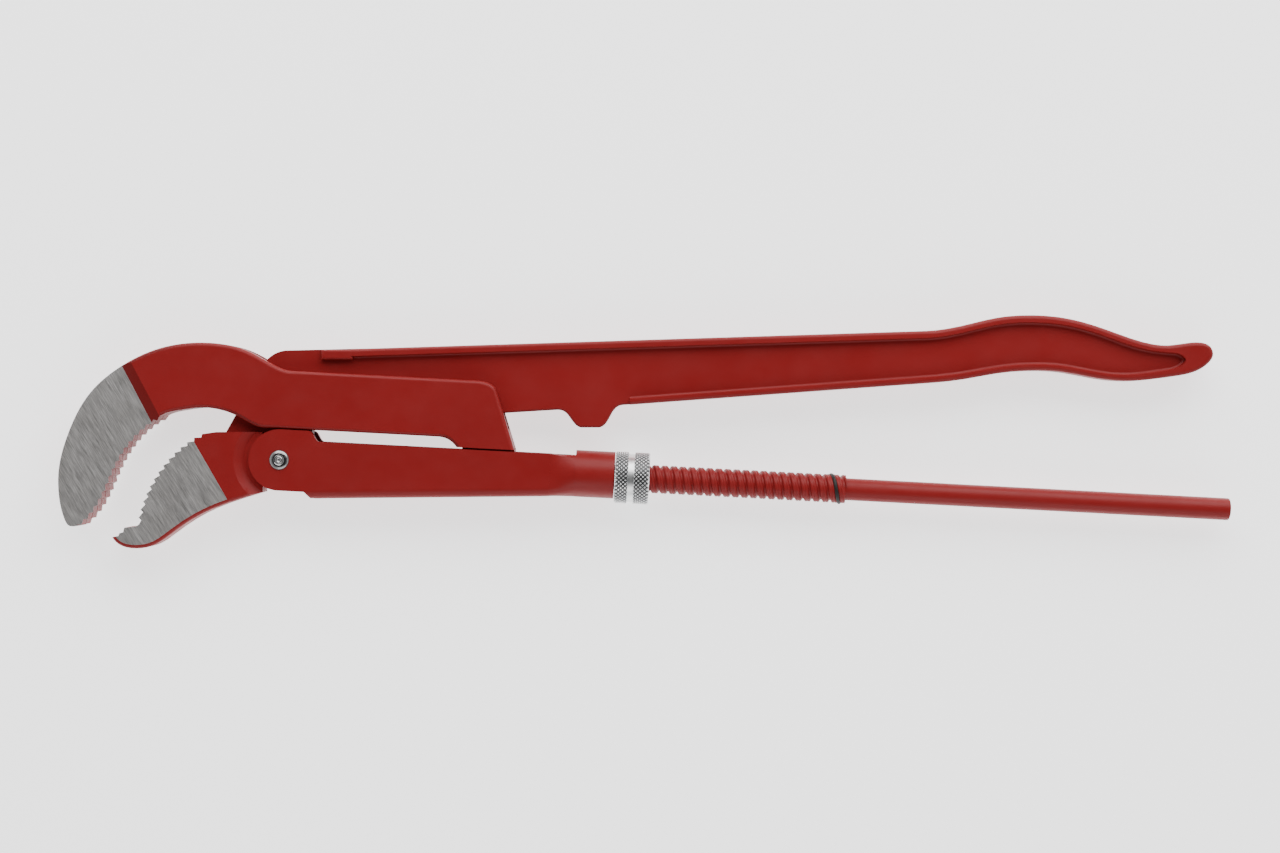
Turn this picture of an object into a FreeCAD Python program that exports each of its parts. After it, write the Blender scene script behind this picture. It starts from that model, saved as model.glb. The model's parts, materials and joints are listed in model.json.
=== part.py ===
import FreeCAD, Part
import math
import os

# Pipe wrench of the Swedish pattern, with S-shaped jaws, for pipes up to 3 inches.
# It is modelled about its pivot: X runs along the threaded bar towards its free end,
# Y points from the bar to the handle, Z is the pivot pin's axis, and Z = 0 is the
# plane midway between the two flat sides. place_and_export() then moves everything
# so that the origin is below the middle of the wrench, on the surface it lies on.

# ---- overall sizes ----
handle_reach = 515.5       # pivot to the end of the forged handle
bar_reach = 526.5          # pivot to the free end of the round bar
side_half = 12.0           # half the thickness over the cheeks and the bracket
jaw_half = 10.5            # half the thickness of both jaws at their ground tips

# ---- forged handle with the lower jaw ----
rest_angle = 3.0           # angle of the handle's own axis to the bar, as it lies
web_half = 5.0             # half the thickness of the tang and the handle's web
flange_half = 8.6          # half the thickness over the handle's flanges
top_flange = 3.9           # width of the flange along the outer edge
bottom_flange = 3.1        # width of the flange along the inner edge
boss_radius = 16.3         # thick round of the tang between the bracket's ears
slope_inner = 20.0         # the jaw thickens from this radius about the pivot
slope_outer = 25.5         # to this one
heel_height = 15.4         # top of the thick part of the lower jaw
tang_underside = 25.5      # lower edge of the tang between the cheeks
web_step = 118.0           # behind this the web's lower edge is rounded
flange_start = 193.0       # the lower flange starts here, behind the stop lug
forged_round = 2.0         # rounding of the long forged edges
recess_round = 1.6         # rounding where the flanges meet the web

# ---- upper jaw ----
crotch_x = -45.0           # front end of the fork between the cheeks
cheek_low = 17.4           # straight lower edge of the cheeks
cheek_rear_top = 49.4      # straight upper edge of the cheeks
foot_low = 12.2            # bottom of the foot, just above the bracket
foot_front = 97.0          # front of the foot
foot_rear = 129.0          # rear of the foot
fork_floor = 23.3          # the fork is open above this height at the rear
tongue_low = -7.6          # bottom of the tongue inside the bracket
ramp_width = 5.6           # slope from the cheek's side down to the ground tip
ramp_turn = 210.8          # direction that the slope falls in, from +X

# ---- bracket ----
wall = 3.6                 # wall of the bracket's sides
floor_wall = 3.2           # wall of the bracket's floor
ear_radius = 16.9          # rounded front of the bracket about the pivot
bracket_top = 11.2         # top edge of the bracket's sides
fold_radius = 5.0          # outer radius of the fold between the sides and the floor
neck_length = 14.0         # over this the folded channel turns into the tube
neck_inset = 0.05          # the blend starts and ends this much inside its neighbours
tube_start = 163.0         # front of the round tube
tube_end = 184.6           # end of the tube, where the nut bears
tube_radius = 13.0
tube_lift = 1.0            # the tube sits this much above the bar's axis
bore_radius = 9.8

# ---- pivot pin ----
pin_radius = 4.6
pin_head_radius = 5.4
pin_dome = 1.5

# ---- threaded bar ----
bar_radius = 6.15
thread_radius = 8.0
thread_root = 6.5
thread_pitch = 5.0
thread_starts = 2
thread_start = 165.0
thread_end = 313.0
crest_width = 2.3
flank_run = 0.55
spigot_radius = 5.0
spigot_start = 104.0
cross_pin_radius = 2.0

# ---- nut, stop ring and spring ----
nut_length = 19.1
nut_radius = 14.4
nut_groove_radius = 13.5
nut_groove_width = 4.2
nut_chamfer = 1.3
ring_wire = 1.0
ring_centre = 307.5
ring_turn = 300.0
spring_thickness = 1.2
spring_width = 11.0
spring_start = 26.0
spring_rivet_x = 34.0
spring_rivet_radius = 2.0
spring_rise_x = 88.0
spring_end = 140.0

# ---- clearances ----
slide_gap = 0.35           # between flat faces that slide on each other
pin_gap = 0.08             # round the pivot pin in the tang
press_gap = 0.02           # round pins and spigots that are pressed in
thread_gap = 0.28          # between the bar's thread and the nut's thread

# ---- what follows from them ----
thread_lead = thread_pitch * thread_starts
channel_half = side_half - wall
boss_half = channel_half - slide_gap
fork_half = web_half + slide_gap
nut_start = tube_end + slide_gap
nut_end = nut_start + nut_length
grip_joint = handle_reach - 154.0
FAR = 1000.0               # longer than anything that is cut with it

Z_AXIS = FreeCAD.Vector(0, 0, 1)
X_AXIS = FreeCAD.Vector(1, 0, 0)
Y_AXIS = FreeCAD.Vector(0, 1, 0)


def point(x, y, z=0.0):
    return FreeCAD.Vector(x, y, z)


def line(start, end):
    return Part.makeLine(point(*start), point(*end))


def chain(*points):
    """Straight edges through the points, in order."""
    return [line(start, end) for start, end in zip(points, points[1:])]


def curve(*points):
    """One smooth edge through the points."""
    spline = Part.BSplineCurve()
    spline.interpolate([point(*p) for p in points])
    return spline.toShape()


def curve_between(before, points, after):
    """A smooth edge that leaves the line from before, and runs into the line to after."""
    spline = Part.BSplineCurve()
    spline.interpolate(Points=[point(*p) for p in points],
                       InitialTangent=(point(*points[0]) - point(*before)).normalize(),
                       FinalTangent=(point(*after) - point(*points[-1])).normalize(),
                       Scale=False)
    return spline.toShape()


def plate(edges, half_thickness):
    """Solid of an outline in the XY plane, the same thickness on both sides of Z = 0."""
    face = Part.Face(Part.Wire(edges))
    face.translate(point(0, 0, -half_thickness))
    return face.extrude(point(0, 0, 2 * half_thickness))


def block(low, high):
    size = [b - a for a, b in zip(low, high)]
    return Part.makeBox(*size, point(*low))


def both_sides(solid):
    """A solid and its mirror image in Z = 0."""
    return [solid, solid.mirror(point(0, 0, 0), Z_AXIS)]


def rod_along_x(radius, start, end, height=0.0):
    return Part.makeCylinder(radius, end - start, point(start, height, 0), X_AXIS)


def round_edges(solid, radius, wanted):
    """Rounds the edges that wanted() picks."""
    picked = [edge for edge in solid.Edges if wanted(edge)]
    return solid.makeFillet(radius, picked)


def lies_at_side(edge, half_thickness):
    box = edge.BoundBox
    return abs(abs(box.ZMin) - half_thickness) < 0.01 and box.ZLength < 0.01


def teeth(along, count, depth, lean):
    """Saw-tooth outline along a curve: a root, then a tip, for each tooth.

    depth is how far a tip stands out to the left of the curve's direction, and
    lean is how far it leans along the curve, as a share of one tooth.
    """
    spline = Part.BSplineCurve()
    spline.interpolate([point(*p) for p in along])
    pitch = spline.length() / count
    outline = []
    for tooth in range(count):
        root = spline.parameterAtDistance(tooth * pitch)
        crest = spline.parameterAtDistance((tooth + lean) * pitch)
        outline.append(spline.value(root))
        across = Z_AXIS.cross(FreeCAD.Vector(spline.tangent(crest)[0]))
        outline.append(spline.value(crest) + across.normalize() * depth)
    outline.append(spline.value(spline.LastParameter))
    return [(p.x, p.y) for p in outline]


# ---------------------------------------------------------------- upper jaw
def upper_jaw():
    """Hook and fork in one forging; its tongue slides in the bracket."""
    back = [(-104.0, -40.6), (-110.1, -42.3), (-114.0, -42.3), (-116.8, -38.6), (-120.3, -27.0),
            (-121.3, -11.5), (-117.2, 8.4), (-106.6, 31.0), (-89.9, 47.1), (-68.6, 58.3),
            (-44.0, 62.5), (-20.0, 58.9), (-6.0, 52.2), (4.0, cheek_rear_top)]
    outline = [curve_between((-99.0, -39.0), back, (9.0, cheek_rear_top))]
    outline += chain(back[-1], (107.0, cheek_rear_top))
    rear_top = (117.3, 44.7)
    rear_corner = [(107.0, cheek_rear_top), (113.2, 48.3), rear_top]
    outline.append(curve_between((3.5, cheek_rear_top), rear_corner, (foot_rear, foot_low)))
    outline += chain(rear_top, (foot_rear, foot_low), (foot_front, foot_low))
    outline.append(curve((foot_front, foot_low), (foot_front - 4.6, 16.1), (86.0, cheek_low)))
    outline += chain((86.0, cheek_low), (-10.0, cheek_low))
    neck = [(-10.0, cheek_low), (-16.0, 18.9), (-24.9, 23.2), (-33.9, 25.9), (-44.9, 26.6),
            (-56.0, 24.7), (-66.7, 21.0)]
    outline.append(curve_between((0.0, cheek_low), neck, (-70.0, 18.9)))
    outline += chain(neck[-1], (-64.0, 14.0), (-86.0, -18.0), back[0])
    jaw = plate(outline, side_half)

    def long_edge(edge):
        box = edge.BoundBox
        in_mouth = -104.5 < box.XMin < -63.0 and box.YMax < 21.5
        under_foot = box.YMax < foot_low + 0.01
        return lies_at_side(edge, side_half) and not in_mouth and not under_foot
    jaw = round_edges(jaw, forged_round, long_edge)

    # The row of teeth is cut out of the blank, from the neck to the tip.
    bite = teeth([(-66.7, 21.0), (-78.0, 12.4), (-90.8, -6.7), (-97.3, -23.6), (-109.4, -41.4)],
                 17, 1.5, 0.62)
    mouth = chain(*bite, (-108.9, -50.0), (-70.0, -50.0), (-50.0, 0.0), (-60.0, 19.0), bite[0])
    jaw = jaw.cut(plate(mouth, side_half + 1))

    for side in both_sides(ground_step()):
        jaw = jaw.cut(side)

    # The tongue, and the fork that the tang passes through.
    tongue_front = foot_front + 3.0
    tongue = block((tongue_front, tongue_low, -boss_half), (foot_rear, foot_low + 1.0, boss_half))
    jaw = jaw.fuse(tongue)
    fork = block((crotch_x, -FAR, -fork_half), (tongue_front, FAR, fork_half))
    jaw = jaw.cut(fork)
    jaw = jaw.cut(Part.makeCylinder(fork_half, FAR, point(crotch_x, -FAR / 2, 0), Y_AXIS))
    jaw = jaw.cut(block((crotch_x, fork_floor, -fork_half), (foot_rear + 1, FAR, fork_half)))

    # Bore for the bar's spigot, and the hole of the cross pin through it.
    jaw = jaw.cut(rod_along_x(spigot_radius + press_gap, spigot_start - 0.5, foot_rear + 1))
    jaw = jaw.cut(cross_pin(press_gap))
    return jaw.removeSplitter()


def ground_step():
    """What is taken off one side of the hook's tip: a short ramp, then a flat."""
    step = side_half - jaw_half
    section = [point(0, 0, side_half), point(ramp_width, 0, jaw_half), point(FAR, 0, jaw_half),
               point(FAR, 0, side_half + step), point(0, 0, side_half + step)]
    face = Part.Face(Part.makePolygon(section + section[:1]))
    face.translate(point(0, -FAR / 2, 0))
    cut = face.extrude(point(0, FAR, 0))
    cut.rotate(point(0, 0), Z_AXIS, ramp_turn)
    cut.translate(point(-75.8, 35.3, 0))
    return cut


def cross_pin(extra=0.0):
    """Pin through the tongue, the full height of its lower part."""
    middle = (spigot_start + foot_rear) / 2
    height = foot_low - tongue_low
    return Part.makeCylinder(cross_pin_radius + extra, height, point(middle, tongue_low, 0), Y_AXIS)


# ---------------------------------------------------------------- forged handle
def lower_jaw_outline():
    bite = teeth([(-43.2, 12.4), (-54.6, 4.7), (-65.2, -7.3), (-72.0, -19.5), (-76.2, -33.2)],
                 13, -1.7, 0.75)
    bite.reverse()
    beak = [(-92.6, -42.6), (-88.9, -42.0), (-88.3, -40.4), (-86.2, -39.8), (-85.6, -37.3),
            (-79.3, -36.8), (-77.4, -35.4)]
    edges = chain(*beak, *bite)
    edges += chain((-43.2, 12.4), (-42.6, 14.3), (-35.0, heel_height), (-10.0, heel_height))
    return edges


def lower_jaw():
    """Thick head of the forging, up to the round of the tang about the pivot."""
    edges = lower_jaw_outline()
    edges += chain((-10.0, heel_height), (-9.6, -17.7))
    edges.append(curve((-9.6, -17.7), (-23.0, -21.8), (-43.8, -30.2), (-60.3, -41.0),
                       (-69.0, -46.8), (-80.0, -48.9), (-88.5, -46.8), (-92.6, -42.6)))
    head = plate(edges, jaw_half)

    def back_edge(edge):
        return lies_at_side(edge, jaw_half) and edge.Length > 40.0
    head = round_edges(head, forged_round, back_edge)

    # Cone about the pivot that takes the head down to the thickness between the ears.
    for side in both_sides(shoulder_cut()):
        head = head.cut(side)
    return head


def shoulder_cut():
    section = [point(0, 0, boss_half), point(slope_inner, 0, boss_half),
               point(slope_outer, 0, jaw_half), point(slope_outer, 0, side_half),
               point(0, 0, side_half)]
    face = Part.Face(Part.makePolygon(section + section[:1]))
    return face.revolve(point(0, 0, 0), Z_AXIS, 360)


def tang():
    """Flat bar from the pivot up between the cheeks to the start of the handle."""
    edges = chain((-31.5, heel_height - 3), (-30.0, 16.0), (-25.1, 24.8), (-7.3, 55.9))
    edges.append(curve((-7.3, 55.9), (-2.3, 59.3), (4.5, 60.6)))
    edges += chain((4.5, 60.6), (60.0, 61.9), (60.0, tang_underside), (22.0, tang_underside))
    edges.append(curve((22.0, tang_underside), (19.2, 24.3), (18.0, 21.5)))
    edges += chain((18.0, 21.5), (16.0, 5.0), (0.0, -5.0), (-31.5, heel_height - 3))
    return plate(edges, web_half)


def grip_outline(top_inset, bottom_inset, start, tip):
    """Outline of the long handle from start, or of its recess when it is inset."""
    end = handle_reach
    top = [(60.0, 61.9), (grip_joint - 5.0, 71.3), (grip_joint + 17.0, 74.6),
           (grip_joint + 35.0, 78.7), (end - 101.5, 80.0), (end - 83.0, 78.6),
           (end - 62.0, 73.1), (end - 41.0, 65.8)]
    low = [(60.0, 20.9), (grip_joint, 42.7), (grip_joint + 17.0, 44.6),
           (grip_joint + 35.0, 47.8), (end - 99.0, 49.4), (end - 83.0, 48.5),
           (end - 65.0, 45.2), (end - 46.3, 43.6)]
    top = [(x, y - top_inset) for x, y in top]
    low = [(x, y + bottom_inset) for x, y in low]
    tip = [(end - back, height) for back, height in tip]

    def at_start(ends):
        share = (start - ends[0][0]) / (ends[1][0] - ends[0][0])
        return (start, ends[0][1] + share * (ends[1][1] - ends[0][1]))
    top[0] = at_start(top)
    low[0] = at_start(low)
    edges = chain(top[0], top[1])
    edges.append(curve_between(top[0], top[1:] + tip + low[:0:-1], low[0]))
    edges += chain(low[1], low[0], top[0])
    return edges


def lower_web():
    """Lower edge of the web, with the hump that meets the bracket's tube when the
    handles close."""
    bottom = 17.85
    before = (web_step, tang_underside + 0.1)
    fall = [(152.5, 27.7), (156.5, 26.9), (160.0, 23.4), (163.2, 19.3), (166.4, bottom)]
    rise = [(175.6, bottom), (178.6, 19.1), (182.0, 24.0), (185.4, 28.9), (189.0, 30.4)]
    edges = chain((web_step, 40.0), before, fall[0])
    edges.append(curve_between(before, fall, rise[0]))
    edges += chain(fall[-1], rise[0])
    edges.append(curve_between(fall[-1], rise, (200.0, 31.2)))
    edges += chain(rise[-1], (flange_start + 1, 30.75), (flange_start + 1, 40.0), (web_step, 40.0))
    web = plate(edges, web_half)

    def bottom_edge(edge):
        return lies_at_side(edge, web_half) and edge.BoundBox.YMax < 31.0
    return round_edges(web, 1.2, bottom_edge)


def handle():
    """Lower jaw, tang and I-section handle, forged in one."""
    end_round = [(24.5, 63.3), (9.0, 65.0), (1.8, 62.8), (0.0, 58.4), (3.0, 53.2), (24.0, 45.8)]
    beam = plate(grip_outline(0.0, 0.0, 39.0, end_round), flange_half)

    def edge_to_round(edge):
        return lies_at_side(edge, flange_half) and edge.BoundBox.XMax > 100.0
    beam = round_edges(beam, forged_round, edge_to_round)

    # The recess on each side leaves the two flanges; the lower one starts behind
    # the stop lug, so that the cheeks of the upper jaw can pass over the web.
    recess_end = [(24.0, 59.3), (18.3, 58.2), (15.5, 55.2), (18.0, 51.8), (27.0, 49.0)]
    inner = Part.Face(Part.Wire(grip_outline(top_flange, bottom_flange, 0.0, recess_end)))
    recess = inner.extrude(point(0, 0, FAR))

    def recess_corner(edge):
        return edge.BoundBox.ZMax < 0.01 and edge.BoundBox.XMax > 1.0
    recess = round_edges(recess, recess_round, recess_corner)
    recess = recess.fuse(block((0, -FAR, 0), (flange_start, 45.0, FAR)))
    recess.translate(point(0, 0, web_half))
    for side in both_sides(recess):
        beam = beam.cut(side)

    # Nothing of the beam reaches below the tang between the cheeks, and behind them
    # its lower part is the rounded web.
    beam = beam.cut(block((0, -FAR, -FAR), (150.0, tang_underside, FAR)))
    beam = beam.cut(block((web_step, -FAR, -FAR), (flange_start, 35.0, FAR)))

    pad = block((22.6, 55.4, -flange_half), (40.0, 60.9, flange_half))
    pad = pad.makeFillet(1.5, [e for e in pad.Edges if e.BoundBox.ZLength < 0.01])
    boss = Part.makeCylinder(boss_radius, 2 * boss_half, point(0, 0, -boss_half))
    forging = tang().fuse([beam, pad, boss, lower_web(), lower_jaw()])
    forging = forging.cut(Part.makeCylinder(pin_radius + pin_gap, FAR, point(0, 0, -FAR / 2)))
    forging = forging.removeSplitter()
    forging.rotate(point(0, 0, 0), Z_AXIS, rest_angle)
    return forging


# ---------------------------------------------------------------- bracket
def bottom_line(x, inset=0.0):
    """Height of the bracket's lower edge, which rises towards the tube."""
    return -20.5 + (x - 18.2) * 9.0 / 145.0 + inset


def bracket():
    """Folded sleeve: two ears on the pin, an open channel, and a tube for the bar."""
    lower_corner = (18.2, bottom_line(18.2))
    flat_end = tube_start - neck_length
    edges = chain((0, -ear_radius), (14.4, -ear_radius), lower_corner,
                  (flat_end, bottom_line(flat_end)), (flat_end, bracket_top),
                  (21.0, bracket_top))
    edges.append(curve((21.0, bracket_top), (19.2, 13.0), (17.0, 16.2), (15.4, ear_radius)))
    edges += chain((15.4, ear_radius), (0, ear_radius))
    edges.append(Part.Arc(point(0, ear_radius), point(-ear_radius, 0),
                          point(0, -ear_radius)).toShape())
    body = plate(edges, side_half)

    def lower_edge(edge):
        return lies_at_side(edge, side_half) and edge.Length > 100.0 and edge.BoundBox.YMax < 0
    body = round_edges(body, fold_radius, lower_edge)

    tube = rod_along_x(tube_radius, tube_start, tube_end, tube_lift)
    neck = tube_neck()
    body = body.fuse([tube, neck])
    channel = block((-FAR, -FAR, -channel_half), (tube_start - 3, FAR, channel_half))
    channel = channel.cut(channel_floor())
    body = body.cut(channel)
    body = body.cut(rod_along_x(bore_radius, tube_start - 12, tube_end + 1, tube_lift))
    body = body.cut(Part.makeCylinder(pin_radius + press_gap, FAR, point(0, 0, -FAR / 2)))
    for side in both_sides(pin_head(press_gap)):
        body = body.cut(side)
    body = body.cut(spring_rivet(press_gap))
    return body.removeSplitter()


def tube_neck():
    """Stretch in which the flat sides and the folded bottom blend into the round tube."""
    start = tube_start - neck_length - 0.5
    top = bracket_top - neck_inset
    half = side_half - neck_inset
    bottom = bottom_line(start, neck_inset)
    fold = point(start, bottom + fold_radius, half - fold_radius)
    side = point(0, 0, fold_radius)
    down = point(0, -fold_radius, 0)
    # Right half of the flat section: top corner, start, middle and end of the fold.
    corners = [point(start, top, half), fold + side, fold + (side + down) * math.sqrt(0.5),
               fold + down]
    angles = [math.atan2(p.y - tube_lift, p.z) for p in (corners[0], corners[1], corners[3])]
    radius = tube_radius - 2 * neck_inset

    def on_tube(angle):
        return point(tube_start + 1, tube_lift + radius * math.sin(angle),
                     radius * math.cos(angle))

    def arc(first, last):
        return Part.Arc(on_tube(first), on_tube((first + last) / 2), on_tube(last)).toShape()
    mirrored = [point(p.x, p.y, -p.z) for p in corners]
    flat = [Part.makeLine(corners[0], corners[1]), Part.Arc(*corners[1:]).toShape(),
            Part.makeLine(corners[3], mirrored[3]), Part.Arc(*mirrored[:0:-1]).toShape(),
            Part.makeLine(mirrored[1], mirrored[0]), Part.makeLine(mirrored[0], corners[0])]
    turns = angles + [-math.pi - angle for angle in angles[::-1]]
    turns.append(angles[0] - 2 * math.pi)
    tube = [arc(first, last) for first, last in zip(turns, turns[1:])]
    neck = Part.makeLoft([Part.Wire(flat), Part.Wire(tube)], True, True)
    return neck.cut(block((start - 1, top - neck_inset, -FAR), (tube_start, FAR, FAR)))


def channel_floor():
    """What stays below the channel: the folded floor behind the ears."""
    front = 20.0
    rear = tube_start + 2
    edges = chain((front, bottom_line(front, floor_wall)), (rear, bottom_line(rear, floor_wall)),
                  (rear, -FAR), (front, -FAR), (front, bottom_line(front, floor_wall)))
    return plate(edges, side_half + 1)


def pin_head(extra=0.0):
    """Countersunk head in one ear, with a low dome that has a dimple in its middle."""
    seat = Part.makeCone(pin_radius + extra, pin_head_radius + extra,
                         wall * 0.6, point(0, 0, side_half - wall * 0.6))
    if extra:
        return seat
    sphere_radius = (pin_head_radius ** 2 + pin_dome ** 2) / (2 * pin_dome)
    ball = Part.makeSphere(sphere_radius, point(0, 0, side_half + pin_dome - sphere_radius))
    dome = ball.common(Part.makeCylinder(FAR, FAR, point(0, 0, side_half)))
    dimple = Part.makeTorus(2.6, 0.55, point(0, 0, side_half + pin_dome + 0.1))
    return seat.fuse(dome.cut(dimple))


def pivot_pin():
    """Rivet through both ears and the tang."""
    shank = Part.makeCylinder(pin_radius, 2 * side_half - 1, point(0, 0, 0.5 - side_half))
    return shank.fuse(both_sides(pin_head())).removeSplitter()


# ---------------------------------------------------------------- bar, nut and ring
def thread_ridge(start, end, grow, turn):
    """One start of the thread: a trapezoid swept along a right-hand helix about X.

    grow makes the ridge wider and higher, to cut the nut's groove with clearance.
    """
    top = crest_width / 2 + grow
    foot = top + flank_run
    inner = thread_root - 0.4
    outer = thread_radius + grow
    knee = outer - 0.45
    section = [point(inner, 0, -foot), point(knee, 0, -top), point(outer, 0, -top + 0.45),
               point(outer, 0, top - 0.45), point(knee, 0, top), point(inner, 0, foot)]
    profile = Part.makePolygon(section + section[:1])
    helix = Part.makeLongHelix(thread_lead, end - start, thread_radius)
    ridge = Part.Wire(helix.Edges).makePipeShell([profile], True, True)
    ridge.rotate(point(0, 0, 0), Z_AXIS, turn)
    ridge.rotate(point(0, 0, 0), Y_AXIS, 90)
    ridge.translate(point(start, 0, 0))
    return ridge


def start_turns():
    return [360.0 / thread_starts * start for start in range(thread_starts)]


def threaded_bar():
    """Plain bar, rolled thread and the turned spigot that fits the tongue."""
    core = rod_along_x(thread_root, thread_start, thread_end)
    shank = rod_along_x(bar_radius, thread_end - 1, bar_reach)
    neck = rod_along_x(bar_radius, foot_rear, thread_start + 1)
    spigot = rod_along_x(spigot_radius, spigot_start, foot_rear + 1)
    tip = [e for e in shank.Edges if abs(e.BoundBox.XMin - bar_reach) < 0.01 and e.Closed]
    shank = shank.makeFillet(0.9, tip)
    bar = core.fuse([shank, neck, spigot])
    for turn in start_turns():
        bar = bar.fuse(thread_ridge(thread_start, thread_end, 0.0, turn))
    sleeve = rod_along_x(FAR, thread_start - 2, thread_start)
    bar = bar.cut(sleeve.cut(rod_along_x(bar_radius, thread_start - 3, thread_start + 1)))
    sleeve = rod_along_x(FAR, thread_end, thread_end + 2)
    bar = bar.cut(sleeve.cut(rod_along_x(bar_radius, thread_end - 1, thread_end + 3)))
    return bar.cut(cross_pin(press_gap)).removeSplitter()


def adjusting_nut():
    """Round nut that bears on the tube's end, with a smooth band round its middle."""
    groove_start = nut_start + (nut_length - nut_groove_width) / 2 - 0.7
    nut = rod_along_x(nut_radius, nut_start, nut_end)
    rims = [e for e in nut.Edges if e.Closed]
    nut = nut.makeChamfer(nut_chamfer, rims)
    ring = rod_along_x(FAR, groove_start, groove_start + nut_groove_width)
    nut = nut.cut(ring.cut(rod_along_x(nut_groove_radius, nut_start, nut_end)))
    nut = nut.cut(rod_along_x(thread_root + thread_gap, nut_start - 1, nut_end + 1))
    lead_in = thread_start + thread_lead * math.floor((nut_start - 6 - thread_start) / thread_lead)
    for turn in start_turns():
        nut = nut.cut(thread_ridge(lead_in, nut_end + thread_lead, thread_gap, turn))
    return nut.removeSplitter()


def stop_ring():
    """Open wire ring wound into the thread's groove near its end."""
    height = thread_lead * ring_turn / 360.0
    radius = thread_root + ring_wire + press_gap
    helix = Part.makeHelix(thread_lead, height, radius)
    section = Part.Wire(Part.makeCircle(ring_wire, point(radius, 0, 0), Y_AXIS))
    ring = Part.Wire(helix.Edges).makePipeShell([section], True, True)
    groove = (ring_centre - height / 2 - thread_start) / thread_lead
    # The wire lies in the middle of the second start's groove, with its gap underneath.
    turn = (groove - 1.5 / thread_starts) * 360.0
    ring.rotate(point(0, 0, 0), Z_AXIS, turn)
    ring.rotate(point(0, 0, 0), Y_AXIS, 90)
    ring.translate(point(ring_centre - height / 2, 0, 0))
    return ring


# ---------------------------------------------------------------- spring
def spring_line(offset):
    """Points along the leaf spring: flat on the channel floor, then bowed up."""
    flat_end = spring_rivet_x + 8.0
    lift = tongue_low - slide_gap - spring_thickness

    def floor(x):
        return bottom_line(x, floor_wall) + 0.05
    return [(spring_start, floor(spring_start) + offset), (flat_end, floor(flat_end) + offset),
            (spring_rise_x, lift - 1.0 + offset), (spring_end - 20.0, lift + offset),
            (spring_end, lift - 0.3 + offset)]


def leaf_spring():
    """Bowed steel strip that takes up the play under the tongue."""
    low = spring_line(0.0)
    high = spring_line(spring_thickness)
    edges = chain(low[0], low[1])
    edges.append(curve_between(low[0], low[1:], (FAR, low[-1][1] - 40.0)))
    edges += chain(low[-1], high[-1])
    edges.append(curve_between((FAR, low[-1][1] - 40.0), high[:0:-1], high[0]))
    edges += chain(high[1], high[0], low[0])
    strip = plate(edges, spring_width / 2)
    return strip.cut(spring_rivet(press_gap))


def spring_rivet(extra=0.0):
    """Flush rivet through the channel floor, with a flat head over the spring."""
    bottom = bottom_line(spring_rivet_x)
    seat = bottom + floor_wall + spring_thickness + 0.35
    top = seat if extra else seat + 0.9
    shank = Part.makeCylinder(spring_rivet_radius + extra, top - bottom - 0.3,
                              point(spring_rivet_x, bottom + 0.3, 0), Y_AXIS)
    if extra:
        outlet = Part.makeCylinder(spring_rivet_radius + extra, 3.0,
                                   point(spring_rivet_x, bottom - 2.0, 0), Y_AXIS)
        return shank.fuse(outlet)
    head = Part.makeCylinder(spring_rivet_radius + 1.4, 0.9, point(spring_rivet_x, seat, 0), Y_AXIS)
    return shank.fuse(head)


# ---------------------------------------------------------------- everything
def place_and_export():
    nodes = {
        "handle_and_lower_jaw": handle(),
        "upper_jaw": upper_jaw(),
        "bracket": bracket(),
        "pivot_pin": pivot_pin(),
        "threaded_bar": threaded_bar(),
        "bar_cross_pin": cross_pin(),
        "adjusting_nut": adjusting_nut(),
        "stop_ring": stop_ring(),
        "leaf_spring": leaf_spring(),
        "spring_rivet": spring_rivet(),
    }
    whole = Part.makeCompound(list(nodes.values())).optimalBoundingBox(False, False)
    shift = point(-(whole.XMin + whole.XMax) / 2, -(whole.YMin + whole.YMax) / 2, -whole.ZMin)
    os.makedirs("parts", exist_ok=True)
    for name, shape in nodes.items():
        shape.translate(shift)
        shape.exportStep("parts/" + name + ".step")
        print(name, shape.isValid(), len(shape.Solids), round(shape.Volume, 1))
    print("pivot at", round(shift.x, 4), round(shift.y, 4), round(shift.z, 4))


place_and_export()
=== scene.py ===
import json
import math
import bmesh
import bpy
from mathutils import Matrix, Vector


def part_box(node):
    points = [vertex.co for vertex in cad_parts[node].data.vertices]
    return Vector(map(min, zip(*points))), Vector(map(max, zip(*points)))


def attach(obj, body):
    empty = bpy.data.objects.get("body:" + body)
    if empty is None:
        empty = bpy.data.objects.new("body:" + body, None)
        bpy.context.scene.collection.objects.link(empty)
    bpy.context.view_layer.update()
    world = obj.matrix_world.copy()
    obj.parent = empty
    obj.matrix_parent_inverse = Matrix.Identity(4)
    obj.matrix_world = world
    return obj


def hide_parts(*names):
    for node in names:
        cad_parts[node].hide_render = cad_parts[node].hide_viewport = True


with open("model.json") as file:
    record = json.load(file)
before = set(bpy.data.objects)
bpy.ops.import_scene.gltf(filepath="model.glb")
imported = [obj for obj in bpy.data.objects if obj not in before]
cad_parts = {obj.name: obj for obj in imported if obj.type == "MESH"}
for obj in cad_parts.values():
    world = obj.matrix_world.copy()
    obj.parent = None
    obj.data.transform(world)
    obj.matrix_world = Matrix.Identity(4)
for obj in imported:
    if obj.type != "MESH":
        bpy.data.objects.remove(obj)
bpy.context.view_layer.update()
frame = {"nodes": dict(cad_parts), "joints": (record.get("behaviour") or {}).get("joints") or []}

# ------------------------------------------------------------------ table, lamps and camera
# The wrench lies on a white table that glows a little, in a white room with a dark ceiling,
# so that its flat sides look deep red and its rounded edges catch the light. A wide soft
# lamp stands at its upper side and a weaker one at its lower side. The camera looks straight down.
joints = {joint["name"]: joint for joint in frame["joints"]}
pivot = Vector(joints["handle_pivot"]["pos_m"])
mm = 0.001


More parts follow.
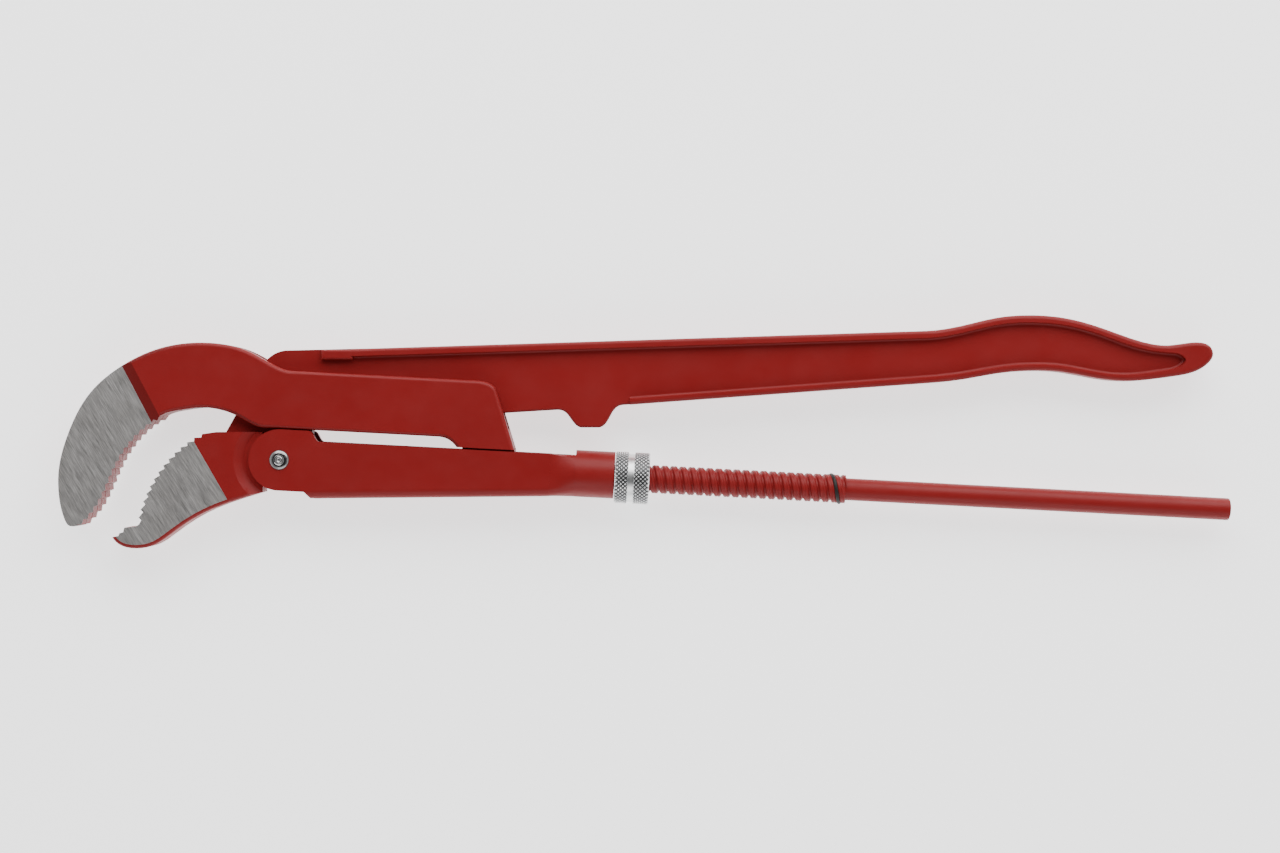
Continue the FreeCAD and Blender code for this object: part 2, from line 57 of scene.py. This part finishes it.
def new_material(name, roughness=0.5, metallic=0.0):
    """An empty node material with its shader."""
    material = bpy.data.materials.new(name)
    material.use_nodes = True
    nodes = material.node_tree.nodes
    shader = nodes["Principled BSDF"]
    shader.inputs["Roughness"].default_value = roughness
    shader.inputs["Metallic"].default_value = metallic
    return material, nodes, material.node_tree.links, shader


def noise(nodes, links, scale, detail=4.0, shift=0.0, stretch=(1, 1, 1), turn=0.0):
    """Noise over the piece's own coordinates, moved by shift so that no two pieces match."""
    place = nodes.new("ShaderNodeTexCoord")
    mapping = nodes.new("ShaderNodeMapping")
    mapping.vector_type = "TEXTURE"
    mapping.inputs["Location"].default_value = (shift, shift * 0.7, shift * 1.3)
    mapping.inputs["Rotation"].default_value = (0, 0, turn)
    mapping.inputs["Scale"].default_value = tuple(1 / part for part in stretch)
    texture = nodes.new("ShaderNodeTexNoise")
    texture.inputs["Scale"].default_value = scale
    texture.inputs["Detail"].default_value = detail
    texture.inputs["Roughness"].default_value = 0.62
    links.new(place.outputs["Object"], mapping.inputs["Vector"])
    links.new(mapping.outputs["Vector"], texture.inputs["Vector"])
    return texture.outputs["Fac"]


def two_tones(nodes, links, source, dark, light, low=0.3, high=0.7):
    """A colour that runs from dark to light with the source."""
    ramp = nodes.new("ShaderNodeValToRGB")
    for stop, place, colour in zip(ramp.color_ramp.elements, (low, high), (dark, light)):
        stop.position = place
        stop.color = (*colour, 1)
    links.new(source, ramp.inputs["Fac"])
    return ramp.outputs["Color"]


def between(nodes, links, source, low, high, start=0.3, end=0.7):
    """A number that runs from low to high while the source runs from start to end."""
    scale = nodes.new("ShaderNodeMapRange")
    for socket, value in zip(("From Min", "From Max", "To Min", "To Max"), (start, end, low, high)):
        scale.inputs[socket].default_value = value
    links.new(source, scale.inputs["Value"])
    return scale.outputs["Result"]


def bumps(nodes, links, shader, *layers):
    """Each layer is (source, depth in metres, strength), the coarsest first."""
    normal = None
    for source, depth, strength in layers:
        bump = nodes.new("ShaderNodeBump")
        bump.inputs["Distance"].default_value = depth
        bump.inputs["Strength"].default_value = strength
        links.new(source, bump.inputs["Height"])
        if normal:
            links.new(normal, bump.inputs["Normal"])
        normal = bump.outputs["Normal"]
    links.new(normal, shader.inputs["Normal"])


def add_object(name, bm, *materials):
    """Turns a finished bmesh into an object at the origin."""
    mesh = bpy.data.meshes.new(name)
    bm.to_mesh(mesh)
    bm.free()
    piece = bpy.data.objects.new(name, mesh)
    bpy.context.scene.collection.objects.link(piece)
    for material in materials:
        mesh.materials.append(material)
    return piece


def white_table():
    bm = bmesh.new()
    bmesh.ops.create_grid(bm, x_segments=1, y_segments=1, size=30.0)
    material, nodes, links, shader = new_material("white_table_paper", roughness=0.8)
    shader.inputs["Base Color"].default_value = (0.93, 0.93, 0.93, 1)
    shader.inputs["Specular IOR Level"].default_value = 0.1
    shader.inputs["Emission Color"].default_value = (1, 1, 1, 1)
    shader.inputs["Emission Strength"].default_value = 1.6
    table = add_object("white_table", bm, material)


def add_lamp(name, place, size, power):
    lamp = bpy.data.lights.new(name, "AREA")
    lamp.shape = "RECTANGLE"
    lamp.size, lamp.size_y = size
    lamp.energy = power
    holder = bpy.data.objects.new(name, lamp)
    holder.location = place
    holder.rotation_euler = (-Vector(place)).to_track_quat("-Z", "Y").to_euler()
    bpy.context.scene.collection.objects.link(holder)


def add_camera():
    camera = bpy.data.cameras.new("camera")
    camera.sensor_width = 36.0
    camera.lens = 65.3
    holder = bpy.data.objects.new("camera", camera)
    # The bar lies three degrees downhill in the picture, so the camera is rolled by that.
    holder.location = pivot + Vector((197.45, 28.81, 1290.0)) * mm
    holder.rotation_euler = (0, 0, math.radians(3.0))
    bpy.context.scene.collection.objects.link(holder)
    bpy.context.scene.camera = holder


def white_room():
    """Bright walls and a dark ceiling."""
    room = bpy.data.worlds.new("white_room")
    bpy.context.scene.world = room
    room.use_nodes = True
    nodes = room.node_tree.nodes
    links = room.node_tree.links
    place = nodes.new("ShaderNodeTexCoord")
    height = nodes.new("ShaderNodeSeparateXYZ")
    links.new(place.outputs["Generated"], height.inputs["Vector"])
    light = two_tones(nodes, links, height.outputs["Z"], (1.0, 1.0, 1.02), (0.04, 0.04, 0.04),
                      low=0.45, high=0.88)
    links.new(light, nodes["Background"].inputs["Color"])
    nodes["Background"].inputs["Strength"].default_value = 1.0


white_table()
white_room()
add_lamp("lamp_upper_side", (0.1, 1.25, 0.95), (2.6, 1.2), 37.0)
add_lamp("lamp_lower_side", (0.2, -1.3, 1.0), (1.6, 0.8), 6.0)
add_camera()


# ------------------------------------------------------------------ forged handle and lower jaw
# One drop forging in chrome vanadium steel: toothed jaw, tang and I-section handle. It is
# painted red all over, with the skin of the forging and its trimmed flash line showing
# through, and both flat sides of the jaw are then ground bare up to a straight line.
jaw_half = 10.5


def red_paint(name, seed, forged=False, depth=1.0):
    """Satin red paint with the fine peel of a sprayed coat and a few specks, its tone varying at random
    between thick and thin coats; a depth below 1 darkens it all as painted shade.
    """
    material, nodes, links, shader = new_material(name)
    wide = noise(nodes, links, 16.0, 5.0, seed)
    # depth scales both tones; below 1 it is painted shade, as on the upper jaw's slope.
    thin, thick = [tuple(part * depth for part in tone)
                   for tone in ((0.250, 0.0140, 0.0138), (0.228, 0.0122, 0.0120))]
    tone = two_tones(nodes, links, wide, thick, thin)
    cells = nodes.new("ShaderNodeTexVoronoi")
    cells.inputs["Scale"].default_value = 34.0
    place = nodes.new("ShaderNodeTexCoord")
    links.new(place.outputs["Object"], cells.inputs["Vector"])
    speck = between(nodes, links, cells.outputs["Distance"], 1.0, 0.0, 0.008, 0.02)
    mix = nodes.new("ShaderNodeMix")
    mix.data_type = "RGBA"
    links.new(speck, mix.inputs["Factor"])
    links.new(tone, mix.inputs["A"])
    mix.inputs["B"].default_value = (0.055, 0.006, 0.005, 1)
    links.new(mix.outputs["Result"], shader.inputs["Base Color"])
    links.new(between(nodes, links, noise(nodes, links, 70.0, 6.0, seed + 3), 0.33, 0.50),
              shader.inputs["Roughness"])
    peel = noise(nodes, links, 800.0, 3.0, seed)
    layers = [(noise(nodes, links, 120.0, 3.0, seed + 1), 0.0004 if forged else 0.0001, 0.3),
              (peel, 0.00012, 0.35)]
    if forged:
        height = nodes.new("ShaderNodeSeparateXYZ")
        links.new(place.outputs["Object"], height.inputs["Vector"])
        off = nodes.new("ShaderNodeMath")
        off.operation = "SUBTRACT"
        off.inputs[1].default_value = pivot.z
        links.new(height.outputs["Z"], off.inputs[0])
        away = nodes.new("ShaderNodeMath")
        away.operation = "ABSOLUTE"
        links.new(off.outputs["Value"], away.inputs[0])
        line = between(nodes, links, away.outputs["Value"], 1.0, 0.0, 0.0009, 0.0017)
        rough = nodes.new("ShaderNodeMath")
        rough.operation = "MULTIPLY"
        links.new(line, rough.inputs[0])
        links.new(between(nodes, links, noise(nodes, links, 420.0, 5.0, seed + 5), 0.45, 1.0),
                  rough.inputs[1])
        layers.insert(0, (rough.outputs["Value"], 0.0007, 0.9))
    bumps(nodes, links, shader, *layers)
    shader.inputs["Specular IOR Level"].default_value = 0.22
    return material


def ground_steel(name, seed, turn):
    """Bare steel with the long, steep scratches of a coarse grinding belt."""
    material, nodes, links, shader = new_material(name, metallic=0.9)
    fine = noise(nodes, links, 3600.0, 3.0, seed, (1.0, 0.05, 0.05), turn)
    coarse = noise(nodes, links, 1700.0, 5.0, seed + 2, (1.0, 0.05, 0.05), turn)
    cloud = noise(nodes, links, 45.0, 4.0, seed + 4)
    both = nodes.new("ShaderNodeMath")
    both.operation = "ADD"
    links.new(fine, both.inputs[0])
    links.new(coarse, both.inputs[1])
    scratch = nodes.new("ShaderNodeMath")
    scratch.operation = "MULTIPLY_ADD"
    scratch.inputs[1].default_value = 0.5
    scratch.inputs[2].default_value = 0.0
    links.new(both.outputs["Value"], scratch.inputs[0])
    lines = two_tones(nodes, links, scratch.outputs["Value"], (0.32, 0.31, 0.30), (0.72, 0.70, 0.68),
                      0.32, 0.68)
    shade = two_tones(nodes, links, cloud, (0.78, 0.77, 0.76), (1.0, 1.0, 1.0))
    mix = nodes.new("ShaderNodeMix")
    mix.data_type = "RGBA"
    mix.blend_type = "MULTIPLY"
    mix.inputs["Factor"].default_value = 1.0
    links.new(lines, mix.inputs["A"])
    links.new(shade, mix.inputs["B"])
    links.new(mix.outputs["Result"], shader.inputs["Base Color"])
    links.new(between(nodes, links, coarse, 0.42, 0.60), shader.inputs["Roughness"])
    bumps(nodes, links, shader, (coarse, 0.0001, 0.4), (fine, 0.00004, 0.4))
    return material


def merged_copy(node):
    """The CAD solid's own surface as one closed skin."""
    bm = bmesh.new()
    bm.from_mesh(frame["nodes"][node].data)
    bmesh.ops.remove_doubles(bm, verts=bm.verts, dist=0.0015 * mm)
    bmesh.ops.dissolve_degenerate(bm, edges=bm.edges, dist=0.0005 * mm)
    bmesh.ops.recalc_face_normals(bm, faces=bm.faces)
    return bm


def is_flat_side(face):
    return abs(face.normal.z) > 0.9999


def shade_forging(bm, sharp_angle=32.0, blend_past=10.0):
    """Smooth over roundings, flat on the flat sides, which blend out past blend_past."""
    for face in bm.faces:
        face.smooth = True
    for edge in bm.edges:
        one, other = (vert.co for vert in edge.verts)
        blend = min(one.x, other.x) > blend_past and abs((one - other).normalized().x) < 0.9
        two = len(edge.link_faces) == 2
        same = two and is_flat_side(edge.link_faces[0]) == is_flat_side(edge.link_faces[1])
        edge.smooth = two and (same or blend) and edge.calc_face_angle(0) < math.radians(sharp_angle)


def grind_sides(bm, beyond):
    """Bare steel, the second material, on the jaw's flat sides where beyond() says."""
    for face in bm.faces:
        centre = face.calc_center_median()
        at_side = abs(abs(centre.z - pivot.z) - jaw_half * mm) < 0.05 * mm
        if at_side and abs(face.normal.z) > 0.999 and beyond(centre):
            face.material_index = 1


def forged_handle():
    bm = merged_copy("handle_and_lower_jaw")
    turn = Matrix.Rotation(math.radians(3.0), 3, "Z")
    start = pivot + turn @ Vector((-47.3, 10.4, 0)) * mm
    end = pivot + turn @ Vector((-28.6, -22.1, 0)) * mm
    across = (end - start).cross(Vector((0, 0, 1))).normalized()
    geom = bm.verts[:] + bm.edges[:] + bm.faces[:]
    bmesh.ops.bisect_plane(bm, geom=geom, plane_co=start, plane_no=across, dist=0.001 * mm)

    shade_forging(bm)
    grind_sides(bm, lambda place: (place - start).dot(across) > 0)
    piece = add_object("handle_forging", bm, red_paint("red_paint_handle", 3.0, forged=True),
                       ground_steel("ground_steel_lower_jaw", 1.0, math.radians(36)))
    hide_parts("handle_and_lower_jaw")
    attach(piece, "handle")


forged_handle()


# ------------------------------------------------------------------ upper jaw
# The hook, the two cheeks and the foot are one forging, painted with its teeth. Its tip is
# ground bare and a little thinner than the cheeks, down a short painted slope, its red darkened as
# painted shade.
cheek_half = 12.0


def upper_jaw():
    bm = merged_copy("upper_jaw")
    shade_forging(bm)
    grind_sides(bm, lambda place: place.x < pivot.x - 60 * mm)
    # The slope faces between the ground tip and the cheek get a darker copy of the red: painted shade,
    # for a slope turned away from the light.
    for face in bm.faces:
        height = abs(face.calc_center_median().z - pivot.z) / mm
        between_flats = jaw_half + 0.05 < height < cheek_half - 0.05
        if between_flats and 0.8 < abs(face.normal.z) < 0.999 and face.normal.x < -0.1:
            face.material_index = 2
    piece = add_object("upper_jaw_forging", bm, red_paint("red_paint_upper_jaw", 9.0, forged=True),
                       ground_steel("ground_steel_hook", 6.0, math.radians(34)),
                       red_paint("red_paint_painted_shade_in_the_slope", 10.0, depth=0.62))
    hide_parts("upper_jaw")
    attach(piece, "slider")


upper_jaw()


# ------------------------------------------------------------------ bracket
# Pressed and folded steel sleeve with a round tube at its end, painted red. It swings on
# the pivot pin, and the upper jaw's tongue and the bar slide in it.
def bracket():
    bm = merged_copy("bracket")
    geom = bm.verts[:] + bm.edges[:] + bm.faces[:]
    blend = pivot.x + 139.0 * mm
    bmesh.ops.bisect_plane(bm, geom=geom, plane_co=(blend, 0, 0), plane_no=(1, 0, 0), dist=0.001 * mm)
    shade_forging(bm, blend_past=blend + 1.0 * mm)
    piece = add_object("bracket_sleeve", bm, red_paint("red_paint_bracket", 15.0))
    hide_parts("bracket")
    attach(piece, "bracket")


bracket()


# ------------------------------------------------------------------ pivot pin
# Bright steel rivet through both ears and the tang. Its heads are pressed to a low dome
# with a ring groove and a small dimple left by the snap tool.
def bright_steel(name, seed, colour=(0.72, 0.72, 0.71), polish=0.08):
    """Polished steel with faint handling marks."""
    material, nodes, links, shader = new_material(name, metallic=1.0)
    marks = noise(nodes, links, 900.0, 5.0, seed)
    dark = tuple(part * 0.72 for part in colour)
    links.new(two_tones(nodes, links, marks, dark, colour), shader.inputs["Base Color"])
    links.new(between(nodes, links, marks, polish, polish + 0.16), shader.inputs["Roughness"])
    bumps(nodes, links, shader, (marks, 0.00005, 0.3))
    return material


def close_and_smooth(bm, sharp_angle=35.0):
    bmesh.ops.remove_doubles(bm, verts=bm.verts, dist=0.002 * mm)
    bmesh.ops.recalc_face_normals(bm, faces=bm.faces)
    for face in bm.faces:
        face.smooth = True
    for edge in bm.edges:
        edge.smooth = len(edge.link_faces) != 2 or edge.calc_face_angle(0) < math.radians(sharp_angle)


def pivot_pin():
    """Profile of (radius, height over the middle plane), turned round the pin's axis."""
    half = [(4.6, 0.0), (4.6, 9.8), (5.4, 12.0), (5.38, 12.22), (5.1, 12.55), (4.5, 12.9),
            (3.7, 13.18), (3.0, 13.32), (2.75, 13.2), (2.5, 13.02), (2.2, 13.0), (1.95, 13.15),
            (1.75, 13.38), (1.45, 13.46), (1.15, 13.3), (0.8, 12.95), (0.4, 12.8), (0.0, 12.76)]
    profile = [(radius, -height) for radius, height in half[:0:-1]] + half
    bm = bmesh.new()
    points = [bm.verts.new((radius * mm, 0, height * mm)) for radius, height in profile]
    edges = [bm.edges.new(pair) for pair in zip(points, points[1:])]
    bmesh.ops.spin(bm, geom=points + edges, cent=(0, 0, 0), axis=(0, 0, 1), angle=math.tau,
                   steps=72, use_merge=True)
    close_and_smooth(bm, 50.0)
    bmesh.ops.translate(bm, verts=bm.verts, vec=pivot)
    piece = add_object("pivot_rivet", bm, bright_steel("bright_pin_steel", 2.0, (0.34, 0.33, 0.33), 0.12))
    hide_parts("pivot_pin")
    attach(piece, "bracket")


pivot_pin()


# ------------------------------------------------------------------ threaded bar
# Round steel bar, the second handle. Its two-start thread is rolled, so that every crest
# has a fine seam along its middle, and it is painted red with the thread.
bar_low, bar_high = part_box("threaded_bar")
thread_lead = 10.0 * mm
thread_from = pivot.x + 165.0 * mm
thread_to = pivot.x + 313.0 * mm


def spin_profile(bm, profile, turns=1.0, steps=96, lead=0.0):
    """Turns (x, radius) points about the bar's axis into a closed or a helical skin."""
    points = [bm.verts.new((x, 0, radius)) for x, radius in profile]
    edges = [bm.edges.new(pair) for pair in zip(points, points[1:])]
    bmesh.ops.spin(bm, geom=points + edges, cent=(0, 0, 0), axis=(1, 0, 0),
                   dvec=(lead / steps, 0, 0), angle=math.tau * turns,
                   steps=round(steps * turns), use_merge=lead == 0.0)


def rolled_thread():
    """Helical skin of both starts, cut square at its ends and closed there."""
    half = [(0.0, 7.64), (0.22, 7.74), (0.5, 7.88), (0.95, 7.88), (1.3, 7.74), (1.55, 7.44),
            (1.7, 7.0), (1.85, 6.65), (2.15, 6.51), (2.5, 6.5)]
    pitch = [(-x, radius) for x, radius in half[:0:-1]] + half
    profile = pitch + [(x + 5.0, radius) for x, radius in pitch[1:]]
    bm = bmesh.new()
    begin = thread_from - thread_lead
    turns = (thread_to - thread_from) / thread_lead + 2.2
    spin_profile(bm, [(begin + x * mm, radius * mm) for x, radius in profile], turns, 64, thread_lead)
    bmesh.ops.remove_doubles(bm, verts=bm.verts, dist=0.002 * mm)
    for place, outward in ((thread_from, -1), (thread_to, 1)):
        geom = bm.verts[:] + bm.edges[:] + bm.faces[:]
        bmesh.ops.bisect_plane(bm, geom=geom, plane_co=(place, 0, 0), plane_no=(outward, 0, 0),
                               clear_outer=True)
        rim = [edge for edge in bm.edges if edge.is_boundary and abs(edge.verts[0].co.x - place) < 1e-7]
        bmesh.ops.edgeloop_fill(bm, edges=rim)
    return bm


def threaded_bar():
    bm = rolled_thread()
    shoulder = pivot.x + 129.0 * mm
    neck = [(bar_low.x, 0), (bar_low.x, 5.0 * mm), (shoulder - 0.1 * mm, 5.0 * mm),
            (shoulder, 6.15 * mm), (thread_from + 1 * mm, 6.15 * mm), (thread_from + 1 * mm, 0)]
    spin_profile(bm, neck)
    end = bar_high.x
    edge = 0.9
    corner = [(end - (edge - edge * math.sin(turn)) * mm, (6.15 - edge + edge * math.cos(turn)) * mm)
              for turn in [math.radians(step * 15) for step in range(7)]]
    spin_profile(bm, [(thread_to - 1 * mm, 0), (thread_to - 1 * mm, 6.15 * mm)] + corner + [(end, 0)])
    close_and_smooth(bm, 50.0)
    bmesh.ops.translate(bm, verts=bm.verts, vec=(0, pivot.y, pivot.z))
    piece = add_object("threaded_bar_painted", bm, red_paint("red_paint_bar", 21.0))
    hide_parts("threaded_bar")
    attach(piece, "slider")


threaded_bar()


# ------------------------------------------------------------------ adjusting nut
# Turned steel nut, zinc plated. Two bands are cross-knurled for the fingers, and the
# smooth band between them and the chamfered rims are left as turned.
nut_low, nut_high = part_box("adjusting_nut")


def plated_steel():
    """Zinc plate: bright on the knurls' crests with painted shade darkening their valleys, and fine
    turning lines round the smooth parts.
    """
    material, nodes, links, shader = new_material("bright_zinc_plate", metallic=1.0)
    cloud = noise(nodes, links, 160.0, 6.0, 4.0)
    plate = two_tones(nodes, links, cloud, (0.72, 0.73, 0.74), (0.95, 0.95, 0.94))
    depth = nodes.new("ShaderNodeAttribute")
    depth.attribute_name = "knurl_valley_shade"
    mix = nodes.new("ShaderNodeMix")
    mix.data_type = "RGBA"
    links.new(between(nodes, links, depth.outputs["Fac"], 0.0, 1.0, 0.15, 0.6), mix.inputs["Factor"])
    links.new(plate, mix.inputs["A"])
    # Painted shade: near black in the knurls' valleys, by how deep they lie.
    mix.inputs["B"].default_value = (0.13, 0.13, 0.13, 1)
    links.new(mix.outputs["Result"], shader.inputs["Base Color"])
    turning = noise(nodes, links, 1800.0, 3.0, 5.0, (1.0, 0.03, 0.03))
    links.new(between(nodes, links, turning, 0.30, 0.44), shader.inputs["Roughness"])
    bumps(nodes, links, shader, (turning, 0.00006, 0.4))
    return material


def adjusting_nut():
    around = 38
    cut = 8
    pitch = 2.4
    depth = 0.9
    rim, groove_from, groove_to = 0.8, 7.0, 10.8
    length = (nut_high.x - nut_low.x) / mm
    outer, inner, bore = 14.4, 13.3, 8.2

    def band(start, end):
        rings = round((end - start) / pitch * cut)
        return [(start + (end - start) * ring / rings, outer) for ring in range(rings + 1)]
    profile = [(0.0, bore + 0.8), (0.0, outer - rim)] + band(rim, groove_from)
    profile += [(groove_from + 0.3, inner), (groove_to - 0.3, inner)] + band(groove_to, length - rim)
    profile += [(length, outer - rim), (length, bore + 0.8), (length - 0.8, bore), (0.8, bore),
                (0.0, bore + 0.8)]
    bm = bmesh.new()
    spin_profile(bm, [(nut_low.x + x * mm, radius * mm) for x, radius in profile], steps=around * cut)
    bmesh.ops.remove_doubles(bm, verts=bm.verts, dist=0.002 * mm)

    def ridge(turn):
        return 1 - abs(2 * (turn % 1) - 1)
    # Each vertex keeps how deep it lies in the knurl, which paints shade into the valleys.
    valley_shade_layer = bm.verts.layers.float.new("knurl_valley_shade")
    for vert in bm.verts:
        x = (vert.co.x - nut_low.x) / mm
        radius = math.hypot(vert.co.y, vert.co.z)
        on_band = rim - 0.01 < x < groove_from + 0.01 or groove_to - 0.01 < x < length - rim + 0.01
        if radius > (outer - 0.01) * mm and on_band:
            turn = math.atan2(vert.co.z, vert.co.y) / math.tau * around
            height = min(ridge(x / pitch + turn), ridge(x / pitch - turn), 0.6) / 0.6
            vert[valley_shade_layer] = 1 - height
            scale = (outer - depth * (1 - height)) * mm / radius
            vert.co.y *= scale
            vert.co.z *= scale
    close_and_smooth(bm, 22.0)
    bmesh.ops.translate(bm, verts=bm.verts, vec=(0, pivot.y, pivot.z))
    piece = add_object("adjusting_nut_knurled", bm, plated_steel())
    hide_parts("adjusting_nut")
    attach(piece, "nut")


adjusting_nut()


# ------------------------------------------------------------------ stop ring
# Open ring of blackened spring wire, wound into the thread's groove near its end. It
# stops the nut from running off the thread.
def finish_node(node, material):
    """Gives a CAD node its one material."""
    mesh = frame["nodes"][node].data
    mesh.materials.clear()
    mesh.materials.append(material)
    for face in mesh.polygons:
        face.material_index = 0


def black_wire():
    material, nodes, links, shader = new_material("blackened_wire", metallic=0.4)
    scale = noise(nodes, links, 700.0, 5.0, 7.0)
    links.new(two_tones(nodes, links, scale, (0.006, 0.006, 0.006), (0.030, 0.027, 0.024)),
              shader.inputs["Base Color"])
    links.new(between(nodes, links, scale, 0.35, 0.6), shader.inputs["Roughness"])
    bumps(nodes, links, shader, (scale, 0.0001, 0.5))
    return material


finish_node("stop_ring", black_wire())


# ------------------------------------------------------------------ leaf spring, rivet and cross pin
# The bowed strip of blued spring steel lies in the bracket's channel under the tongue, held
# by one plain rivet. The plain steel cross pin locks the bar's spigot in the tongue.
def blued_steel():
    material, nodes, links, shader = new_material("blued_spring_steel", metallic=0.95)
    heat = noise(nodes, links, 60.0, 4.0, 11.0, (0.4, 1.0, 1.0))
    links.new(two_tones(nodes, links, heat, (0.055, 0.065, 0.11), (0.17, 0.15, 0.14)),
              shader.inputs["Base Color"])
    rolled = noise(nodes, links, 1500.0, 3.0, 12.0, (0.03, 1.0, 1.0))
    links.new(between(nodes, links, rolled, 0.28, 0.45), shader.inputs["Roughness"])
    bumps(nodes, links, shader, (rolled, 0.00005, 0.4))
    return material


finish_node("leaf_spring", blued_steel())
finish_node("spring_rivet", bright_steel("plain_rivet_steel", 13.0, (0.45, 0.44, 0.43), 0.25))
finish_node("bar_cross_pin", bright_steel("plain_pin_steel", 14.0, (0.45, 0.44, 0.43), 0.25))
